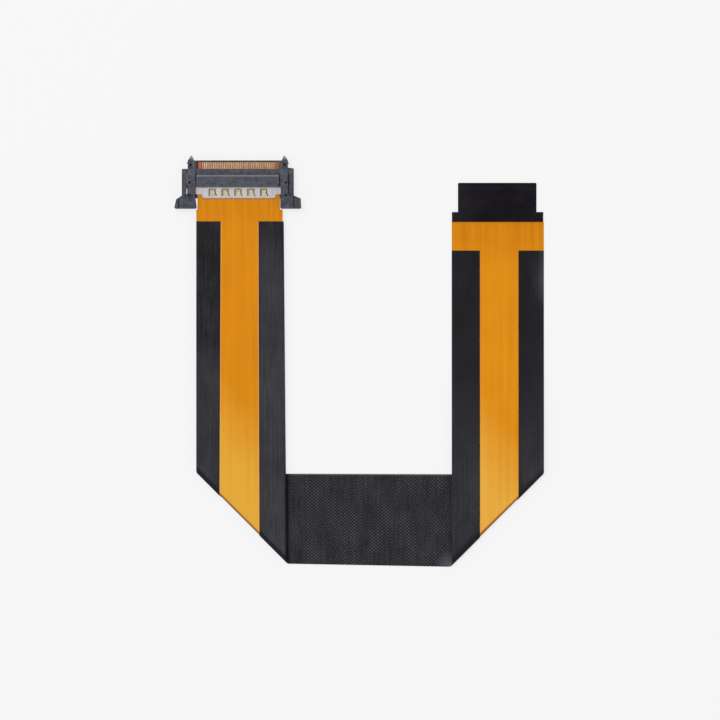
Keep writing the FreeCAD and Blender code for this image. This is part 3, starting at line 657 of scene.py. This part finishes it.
# %% The weave
ACROSS_PITCH, ALONG_PITCH, LINE_PITCH = 0.434, 0.5385, 0.61
checker = (way * (math.pi / ACROSS_PITCH)).sine() * (along * (math.pi / ALONG_PITCH)).sine()
threads = (way * (2 * math.pi / LINE_PITCH)).sine()
lines = cloth.place.noise(1700.0, (1.0, 0.05, 1.0), 2.0, 0.6) - 0.5
patches = cloth.place.noise(170.0, (1.0, 0.7, 1.0), 3.0, 0.6) - 0.5
specks = cloth.unrolled.noise(2.3, (1, 1, 1), 2.0, 0.7) - 0.5
crosswise = cloth.unrolled.noise(1.0, (0.05, 2.2, 1.0), 2.0, 0.6) - 0.5
strength = (0.5 + crosswise * 3.2 + patches * 2.0 + specks * 2.0).step(0.0, 1.2)
strength = strength * (0.09 + band * 0.42)
thread_strength = (0.4 + lines * 4.0 + patches * 2.0).step(0.0, 1.0) * (1 - band) * 0.12
calm = 1 - second_leg * along.step(160.0, 182.0) * 0.75
weave = (checker * strength + specks * (0.14 + band * 0.5) + threads * thread_strength
         + lines * 0.22 * (1 - band * 0.6) + crosswise * band * 0.3 + patches * 0.35) * calm
print("crowns to 10 mm:", round(10 / ACROSS_PITCH), "across,", round(10 / ALONG_PITCH), "along")

# %% Painted light and shade, and a paler spot
leg_middle, leg_foot = along.step(31.0, 43.0), along.step(60.0, 80.0)
inner_side, below_plug = station.step(11.0, 14.0), along.step(0.0, 18.0)
outer_edge, near_tail = 1 - station.step(0.2, 1.8), along.step(212.0, 217.0)
# Painted light and shade: stretches of the legs and band are lighter or darker by place.
tone_and_painted_light = (0.05 + band * 0.11 - second_leg * 0.03
        + first_leg * (leg_middle * 0.14 + leg_foot * 0.03)
        + first_leg * inner_side * (below_plug * 0.18 - leg_middle * 0.12)
        + second_leg * (1 - along.step(168.0, 196.0)) * 0.15
        + second_leg * outer_edge * (0.06 + near_tail * 0.2))
dots = (1 - along.step(203.0, 212.0)) * second_leg * 0.07
dots = dots + first_leg * station.step(16.0, 18.0) * along.near(52.0, 14.0) * 0.12
dots = dots + first_leg * (1 - along.step(2.0, 14.0)) * 0.08
worn_edge = (1 - station.step(0.8, 4.0)) * along.near(220.0, 6.5) * second_leg * 0.2
# A round spot on the band is paler.
PALE_SPOT_ALONG, PALE_SPOT_STATION = 140.6, 25.0
paler = ((along - PALE_SPOT_ALONG) ** 2.0 + (station - PALE_SPOT_STATION) ** 2.0) ** 0.5
paler = (1 - paler.step(0.6, 4.5)) * band * 0.62
fray = band * (1 - station.step(0.15, 0.45)) * 0.6
level = tone_and_painted_light + weave + paler + fray + checker * dots + worn_edge
print("rubbed place, in mm", PALE_SPOT_ALONG, "along and", PALE_SPOT_STATION, "in from the edge")

# %% Lips, bends and shade of the cloth
LIP_REACH, WAY_END = 0.4, way_end / MM
near_lip = 1 - way.step(0.0, LIP_REACH)
far_lip = way.step(WAY_END - LIP_REACH, WAY_END)
lip = near_lip.larger(far_lip)
outer_side = 1 - station.step(9.0, 13.0)
# Painted shade: the cloth darkens where it bends into each crease.
bend = (from_first + outer_side * 0.6).step(CREASE_START - 0.6, CREASE_START + 0.1) * first_leg
bend = bend + (1 - from_second.step(CREASE_END - 0.6, CREASE_END + 1.4)) * second_leg
# Painted shadow: the band darkens beside the first leg that lies over it, and so does that leg's
# inner edge near the fold.
leg_shadow = band * (1 - along.step(FIRST_CREASE + WIDTH + 0.5, FIRST_CREASE + WIDTH + 1.0))
leg_end = along.step(68.0, 70.0)
leg_shadow = leg_shadow + first_leg * station.step(WIDTH - 0.75, WIDTH - 0.6) * leg_end
shaded = (bend * 0.85 + leg_shadow * 0.8).step(0.0, 1.0)
woven = level.step(0.0, 1.0).blend(screen(20, 19, 24), screen(98, 97, 105))
cloth.feed(Base_Color=shaded.blend(lip.blend(woven, screen(26, 22, 14)), screen(17, 15, 18)),
           Roughness=0.5 + specks * 0.3)
cloth.relief((checker.size() * (0.3 + band * 0.7) + specks * 0.3) * calm, 0.02 * MM)
cloth.put_on(woven_shield)

# %% [markdown]
# ## Amber laminate
# Polyimide is a clear orange plastic over copper. Traces and glue show as soft streaks along
# the strip. A painted sheen makes the film paler towards each crease, and painted shade turns
# it brown on the crease itself. Glue leaves a pale line beside each lip of the shield. Where the
# top layer is cut away at the plug it is red, and darker between the contacts, with a painted
# shadow at its left end. It is painted black as shade under the clamp bar, and brown in the
# plate's shade.

# %% Amber of the film
film = Finish("amber_laminate", Specular_IOR_Level=0.4)
across, along, _ = film.unrolled.axes()
east, north, _ = film.place.axes()
from_middle = (east - PLUG_X) / MM
from_first, from_second = along - across, along + across
streaks = film.unrolled.noise(0.8, (1.0, 0.02, 1.0), 3.0, 0.6) - 0.5
clouds = film.unrolled.noise(0.14, (1.0, 0.7, 1.0), 2.0, 0.5) - 0.5
bare = (1 - along.step(-2.0, 2.0) - along.step(150.0, 170.0) * 1.2
        + along.step(224.0, 232.0) * 2.2)
amber = 0.5 + streaks * (0.9 + bare.step(0.0, 1.0) * 0.8) + clouds * 0.5 - bare * 0.2
amber = amber.step(0.0, 1.0).blend(screen(209, 124, 8), screen(232, 150, 20))
print("neck ends at, in mm", round((PLUG_X - NECK_WIDTH / 2) / MM, 2), round(
    (PLUG_X + NECK_WIDTH / 2) / MM, 2))

# %% Painted sheen, glue and painted crease shade of the film
NEAR_LIP, NEAR_DRIFT, FAR_LIP, FAR_DRIFT = 6.93, 0.51, 17.92, 0.4
GLUE_MIDDLE, GLUE_HALF, SHIELD_END = 0.2, 0.22, 228.5
on_second_leg = from_second.step(160.0, 164.0)
# Painted sheen: the film turns the pale colour towards each crease.
crease_sheen = from_first.step(35.0, 55.0) * 0.85 + from_first.step(55.0, 65.0) * 0.15
crease_sheen = crease_sheen * (1 - from_first.step(FIRST_CREASE + 2, FIRST_CREASE + 6))
crease_sheen = crease_sheen + (1.05 - (along - across * 1.25).step(142.5, 168.0) * 1.05) * on_second_leg
pale = on_second_leg.blend(screen(232, 172, 58), screen(239, 177, 68))
amber = (crease_sheen + streaks * crease_sheen * 1.2).step(0.0, 1.0).blend(amber, pale)
past_near = across - (NEAR_LIP - along.step(0.0, 75.0) * NEAR_DRIFT)
past_far = (FAR_LIP - along.step(0.0, 86.0) * FAR_DRIFT) - across
glue = (past_near.near(GLUE_MIDDLE, GLUE_HALF) + past_far.near(GLUE_MIDDLE, GLUE_HALF))
glue = (glue.step(0.0, 1.0) * (0.5 - along.step(60.0, 160.0) * 0.3)
        * along.step(0.0, 0.1) * (1 - along.step(SHIELD_END - 0.3, SHIELD_END)))
amber = glue.blend(amber, screen(236, 190, 130))
# Painted shade: the film turns brown on each crease.
crease_shade = from_first.near(FIRST_CREASE, 1.5) + from_second.near(SECOND_CREASE, 1.3)
amber = (crease_shade.step(0.0, 0.3) * 0.9).blend(amber, screen(140, 74, 30))
print("pale lines of glue are, in mm", 2 * GLUE_HALF, "wide")

# %% The film inside the plug
STRIPPED_FROM, BAR_SHADE_AT, BAR_SHADE_HALF = -14.5, -11.3, 1.73
below_plate = north.step(plate_low.y - 0.75 * MM, plate_low.y - 0.2 * MM)
below_plate = below_plate * (1 - from_middle.size().step(10.2, 10.4))
amber = (below_plate * 0.75).blend(amber, screen(172, 120, 74))
stripped = 1 - along.step(STRIPPED_FROM - 0.1, STRIPPED_FROM + 0.1)
between = 1 - from_middle.size().step(10.3, 10.45)
# Painted shadow: the cut-away film's left end is dark brown.
east_end, west_shadow = from_middle.step(10.5, 11.3), 1 - from_middle.step(-11.3, -11.2)
red = west_shadow.blend(east_end.blend(screen(192, 106, 88), screen(118, 98, 92)), screen(64, 34, 26))
amber = stripped.blend(amber, between.blend(red, screen(112, 74, 56)))
# Painted shade: the film is painted black under the clamp bar.
bar_shade = 1 - (along - BAR_SHADE_AT).size().step(BAR_SHADE_HALF - 0.01, BAR_SHADE_HALF + 0.01)
film.feed(Base_Color=bar_shade.blend(amber, screen(24, 22, 24)), Roughness=0.2 + streaks * 0.1)
film.relief(streaks, 0.006 * MM)
film.put_on(amber_film)

# %% [markdown]
# ## Moulded plastic, plated sheet and gold
# The plug is glass-filled plastic: grey with a blue cast, slightly mottled where it flowed,
# with painted light on its taller parts, on the bridge and on the tips of its horns. The clamp
# bar's front edge has a painted highlight. Painted light brightens the window's floor at both
# ends, and a painted shadow darkens its left side. The plate is tin over brass, bright but
# soft, and its springs show a warmer tone with painted highlights. The contacts are thin gold,
# duller at both ends, and the tail board is smooth black laminate with a painted sheen along
# its tip and its sides.

# %% Finish of the moulded plastic
COVER_HALF = (cover_high.x - cover_low.x) / 2 / MM
HORN_TIP, BAR_EDGE, COMB_BACK, COMB_FRONT = (13.6, 14.5), 9.2, (9.43, 9.5), (11.0, 11.1)
plastic = Finish("moulded_plastic", Specular_IOR_Level=0.5)
east, north, up = plastic.place.axes()
sideways, forwards, height = (east - HOUSING_X) / MM, (north - PLUG_Y) / MM, up / MM
flow = plastic.place.noise(900.0, (1, 1, 1), 3.0, 0.6) - 0.5
grain = plastic.place.noise(5000.0, (1, 1, 1), 2.0, 0.5) - 0.5
comb = forwards.step(*COMB_BACK) * (1 - forwards.step(*COMB_FRONT))
# Painted light: the taller parts and the bridge with its comb are lighter.
tone_and_painted_light = 0.35 + height.step(2.8, 3.1) * 0.2 + comb * 0.3 + flow * 2.0 + grain * 0.5
# Painted highlight on the clamp bar's front edge.
edge = forwards.near(BAR_EDGE, 0.4).step(0.0, 0.4) * height.step(2.7, 2.75)
edge = edge * (1 - sideways.size().step(COVER_HALF - 0.05, COVER_HALF + 0.05))
window = forwards.near(12.1, 1.1).step(0.0, 0.1)
# Painted light on the window's floor at both ends, and painted shadow on its left side.
window_floor_light = sideways.near(-11.95, 0.4) + sideways.near(11.75, 0.4)
window_side_shadow = sideways.near(-11.35, 0.2)
grey = tone_and_painted_light.step(0.0, 1.0).blend(screen(50, 51, 61), screen(86, 88, 98))
grey = edge.blend(grey, screen(104, 104, 110))
grey = (window_floor_light.step(0.0, 0.2) * window).blend(grey, screen(104, 110, 112))
grey = (window_side_shadow.step(0.0, 0.3) * window).blend(grey, screen(44, 30, 24))
# Painted highlight on the tips of the horns.
plastic.feed(Base_Color=forwards.step(*HORN_TIP).blend(grey, screen(150, 148, 146)),
             Roughness=0.34 + flow * 0.2)
plastic.relief(grain * 0.6 + flow * 0.4, 0.006 * MM)
plastic.put_on(plug_shell, clamp_bar, comb_ribs)

# %% Finish of the plated sheet
pad_places = [sum(end.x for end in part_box(f"ground_pad_{count}")) / 2
              for count in range(1, WINDOW_COUNT + 1)]
PAD_PITCH = (max(pad_places) - min(pad_places)) / (WINDOW_COUNT - 1)
HIGHLIGHT_FROM = min(pad_places) - 0.9 * MM
print("ground pads lie", round(PAD_PITCH / MM, 3), "mm apart")
plated = Finish("plated_sheet", Metallic=0.55, Specular_IOR_Level=0.5)
east, north, _ = plated.place.axes()
_, lifted, _ = plated.unrolled.axes()
rolled = plated.place.noise(1500.0, (1.0, 0.12, 1.0), 3.0, 0.6) - 0.5
stain_and_glints = plated.place.noise(2600.0, (1, 1, 1), 2.0, 0.7) - 0.5
metal = (0.5 + rolled * 0.8 + stain_and_glints * 0.4).step(0.0, 1.0).blend(
    screen(196, 190, 191), screen(222, 218, 219))
hem = 1 - north.step(plate_low.y, plate_low.y + 0.35 * MM)
metal = (hem * 0.6).blend(metal, screen(190, 160, 120))
# Painted highlights: each spring is lighter on one side and in spots.
highlight_side = ((east - HIGHLIGHT_FROM) * (2 * math.pi / PAD_PITCH)).sine()
spring = (0.4 + highlight_side * 0.45 + stain_and_glints * 2.4).step(0.0, 1.0).blend(
    screen(142, 125, 80), screen(250, 234, 198))
plated.feed(Base_Color=lifted.step(0.02, 0.3).blend(metal, spring), Roughness=0.4 + rolled * 0.2)
plated.relief(rolled, 0.006 * MM)
plated.put_on(ground_sheet)

# %% Finish of the contacts and the ground pads
gold = Finish("contact_gold", Metallic=0.6)
east, north, _ = gold.place.axes()
PAD_HALF = 1.0
dull_ends = ((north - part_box("conductor_01")[1].y) / MM + PAD_HALF).size().step(0.5, 0.95) * 0.5
wiped = gold.place.noise(1200.0, (1.0, 0.3, 1.0), 2.0, 0.6)
rightward = ((east - PLUG_X) / MM).step(-10.0, 10.0)
bright = wiped.step(0.3, 0.7).blend(
    rightward.blend(screen(208, 160, 114), screen(192, 144, 98)),
    rightward.blend(screen(240, 200, 152), screen(224, 182, 132)))
gold.feed(Base_Color=dull_ends.blend(bright, screen(214, 190, 172)), Roughness=0.35 + wiped * 0.15)
pad_gold = Finish("pad_gold", Metallic=0.5)
tarnish = pad_gold.place.noise(1500.0, (1, 1, 1), 2.0, 0.5)
pad_gold.feed(Base_Color=tarnish.step(0.3, 0.7).blend(screen(110, 92, 70), screen(158, 142, 112)),
              Roughness=0.4 + tarnish * 0.2)
for start, finish in (("conductor", gold), ("ground_pad", pad_gold)):
    finish.put_on(*[node for name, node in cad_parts.items() if name.startswith(start)])

# %% Finish of the tail board
SHEEN_REACH = 9.0 * MM
board = Finish("board_black", Specular_IOR_Level=0.35)
east, north, _ = board.place.axes()
glass = board.place.noise(220.0, (1.0, 1.0, 1.0), 4.0, 0.6) - 0.5
# Painted sheen: lighter streaks along the tip, and a lighter stretch along each side.
sheen_streaks = board.place.noise(500.0, (0.25, 1.0, 1.0), 2.0, 0.5) * 4.0 - 1.8
tip_sheen = north.near(tail_high.y - 1.3 * MM, 1.0 * MM) * sheen_streaks.step(0.0, 1.0)
sheen = ((1 - east.step(tail_low.x, tail_low.x + SHEEN_REACH)) * 0.45
         + east.step(tail_high.x - SHEEN_REACH, tail_high.x) * 0.12)
board.feed(Base_Color=(0.16 + sheen + glass * 0.5 + tip_sheen * 0.5).step(0.0, 1.0).blend(
    screen(10, 7, 14), screen(40, 37, 44)), Roughness=0.22 + glass * 0.1)
board.put_on(tail_board)
print("materials", len(bpy.data.materials))

# %% [markdown]
# ## Table, light and camera
# The photograph is taken straight down on a white table. The floor's own colour makes the
# background, and the light is set so that a colour renders as it is written. The sky is
# darker overhead, where the camera hangs, which keeps the blacks black.

# %% Table and backdrop
FLOOR_HALF, FLOOR_GAP, EVENNESS = 3.0, 0.02 * MM, 0.85
floor_mesh = bpy.data.meshes.new("table")
floor_mesh.from_pydata([(x, y, -FLOOR_GAP) for x, y in (
    (-FLOOR_HALF, -FLOOR_HALF), (FLOOR_HALF, -FLOOR_HALF),
    (FLOOR_HALF, FLOOR_HALF), (-FLOOR_HALF, FLOOR_HALF))], [], [(0, 1, 2, 3)])
table = bpy.data.objects.new("table", floor_mesh)
bpy.context.scene.collection.objects.link(table)
paper = Finish("table_white", Roughness=0.9, Specular_IOR_Level=0.0)
fibre = paper.place.noise(60.0, (1, 1, 1), 2.0, 0.5)
paper.feed(Base_Color=fibre.blend((0.925, 0.925, 0.925), (0.935, 0.935, 0.935)))
paper.put_on(table)
even = paper.place.node("ShaderNodeEmission", {}, {"Color": (0.93, 0.93, 0.93, 1.0)})
rays = paper.place.node("ShaderNodeLightPath").socket.node.outputs
viewed = Shade(paper.tree, rays["Is Camera Ray"])
for kind in ("Is Glossy Ray", "Is Transmission Ray"):
    viewed = viewed.larger(Shade(paper.tree, rays[kind]))
lit = viewed.node("ShaderNodeMixShader", {}, {
    0: viewed * EVENNESS, 1: Shade(paper.tree, paper.shader.outputs[0]), 2: even})
paper.tree.links.new(lit.socket, paper.tree.nodes["Material Output"].inputs["Surface"])

# %% Light
LAMP_SIZE, LAMP_POWER, LAMP_PLACE = 0.3, 6.0, (-0.45, 0.4, 1.1)
world = bpy.data.worlds.new("studio")
bpy.context.scene.world = world
world.use_nodes = True
sky = world.node_tree
direction = Shade(sky, None).node("ShaderNodeTexCoord", output="Generated")
_, _, upward = direction.axes()
overhead, near_horizon = upward.step(0.72, 0.94), 1 - upward.step(0.35, 0.5)
glow = near_horizon.blend((0.85, 0.85, 0.85), (1.0, 1.0, 1.0))
glow = overhead.blend(glow, (0.1, 0.1, 0.1))
sky.links.new(glow.socket, sky.nodes["Background"].inputs["Color"])

lamp_data = bpy.data.lights.new("soft_box", "AREA")
lamp_data.shape = "DISK"
lamp_data.size = LAMP_SIZE
lamp_data.energy = LAMP_POWER
lamp = bpy.data.objects.new("soft_box", lamp_data)
bpy.context.scene.collection.objects.link(lamp)
lamp.location = LAMP_PLACE
lamp.rotation_euler = lamp.location.to_track_quat("Z", "Y").to_euler()
print("lamp is", round(lamp.location.length, 2), "m away")

# %% Camera
CAMERA_HEIGHT, PIXELS_PER_MM, IMAGE_PIXELS = 2.4, 3.602, 720
MIDDLE_X, MIDDLE_Y = CORNER_X + 45.444 * MM, CORNER_Y + 30.016 * MM
camera_data = bpy.data.cameras.new("camera")
camera_data.sensor_width = 36.0
camera_data.lens = camera_data.sensor_width * CAMERA_HEIGHT / (IMAGE_PIXELS / PIXELS_PER_MM * MM)
camera = bpy.data.objects.new("camera", camera_data)
bpy.context.scene.collection.objects.link(camera)
camera.location = (MIDDLE_X, MIDDLE_Y, CAMERA_HEIGHT)
bpy.context.scene.camera = camera
bpy.context.scene.view_settings.view_transform = "Standard"
print("camera lens", round(camera_data.lens, 1))
